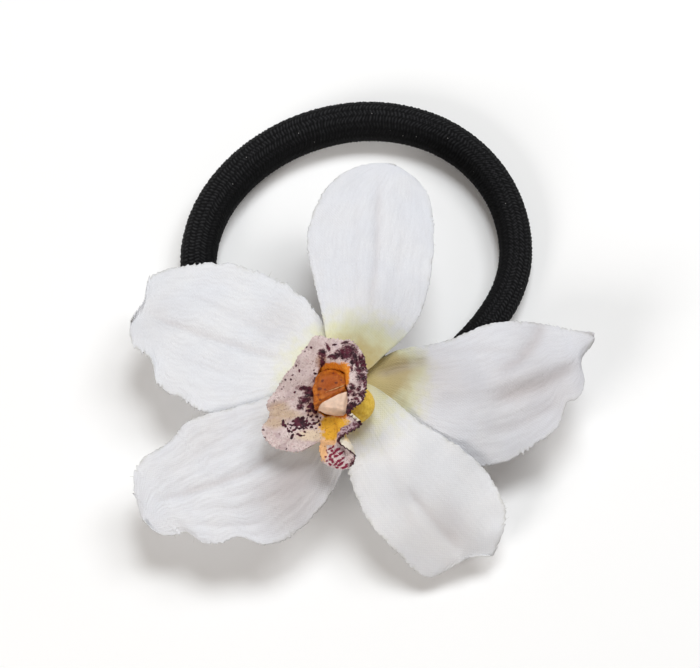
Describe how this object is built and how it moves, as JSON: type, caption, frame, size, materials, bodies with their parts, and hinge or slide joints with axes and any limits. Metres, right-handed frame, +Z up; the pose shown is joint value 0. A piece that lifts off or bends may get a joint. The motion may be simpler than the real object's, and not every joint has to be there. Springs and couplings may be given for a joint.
{
  "type": "hair tie",
  "caption": "Fabric-covered elastic hair loop with a white fabric orchid that swivels on the loop's hidden splice ferrule.",
  "frame": {"origin": "middle of the object's footprint, on the table", "axes": "+Z up, +Y from the flower to the far side of the loop, +X to the right seen from the flower's side"},
  "size_m": [0.0762, 0.0864, 0.023],
  "materials": {
    "cover_textile": "black ribbed textile cover, matt",
    "strand_rubber": "natural latex",
    "ferrule_steel": "crimped plated steel",
    "keeper_tape": "black woven tape",
    "felt": "black pressed felt",
    "hot_melt": "hot-melt glue, satin",
    "calyx_plastic": "pale green moulded plastic",
    "petal_fabric": "white stiffened woven fabric, yellow-green at the claws",
    "lip_vinyl": "pale pink soft moulding with maroon spots, orange throat",
    "column_vinyl": "orange soft moulding",
    "anther_vinyl": "cream soft moulding"
  },
  "bodies": {
    "loop": {"elastic_cover": "cover_textile", "rubber_strand_1": "strand_rubber", "rubber_strand_2": "strand_rubber", "rubber_strand_3": "strand_rubber", "rubber_strand_4": "strand_rubber", "rubber_strand_5": "strand_rubber", "rubber_strand_6": "strand_rubber", "rubber_strand_7": "strand_rubber", "splice_ferrule": "ferrule_steel"},
    "flower": {"keeper_loop": "keeper_tape", "felt_base": "felt", "glue_pad": "hot_melt", "calyx_peg": "calyx_plastic", "dorsal_sepal": "petal_fabric", "left_petal": "petal_fabric", "right_petal": "petal_fabric", "lower_left_sepal": "petal_fabric", "lower_right_sepal": "petal_fabric", "lip": "lip_vinyl", "column": "column_vinyl", "anther_cap": "anther_vinyl"}
  },
  "joints": [
    {"name": "flower_swivel", "type": "hinge", "parent": "loop", "child": "flower", "pos_m": [-0.00017, -0.0117, 0.00455], "axis": [1, 0, 0], "range_deg": [-12, 15]}
  ]
}
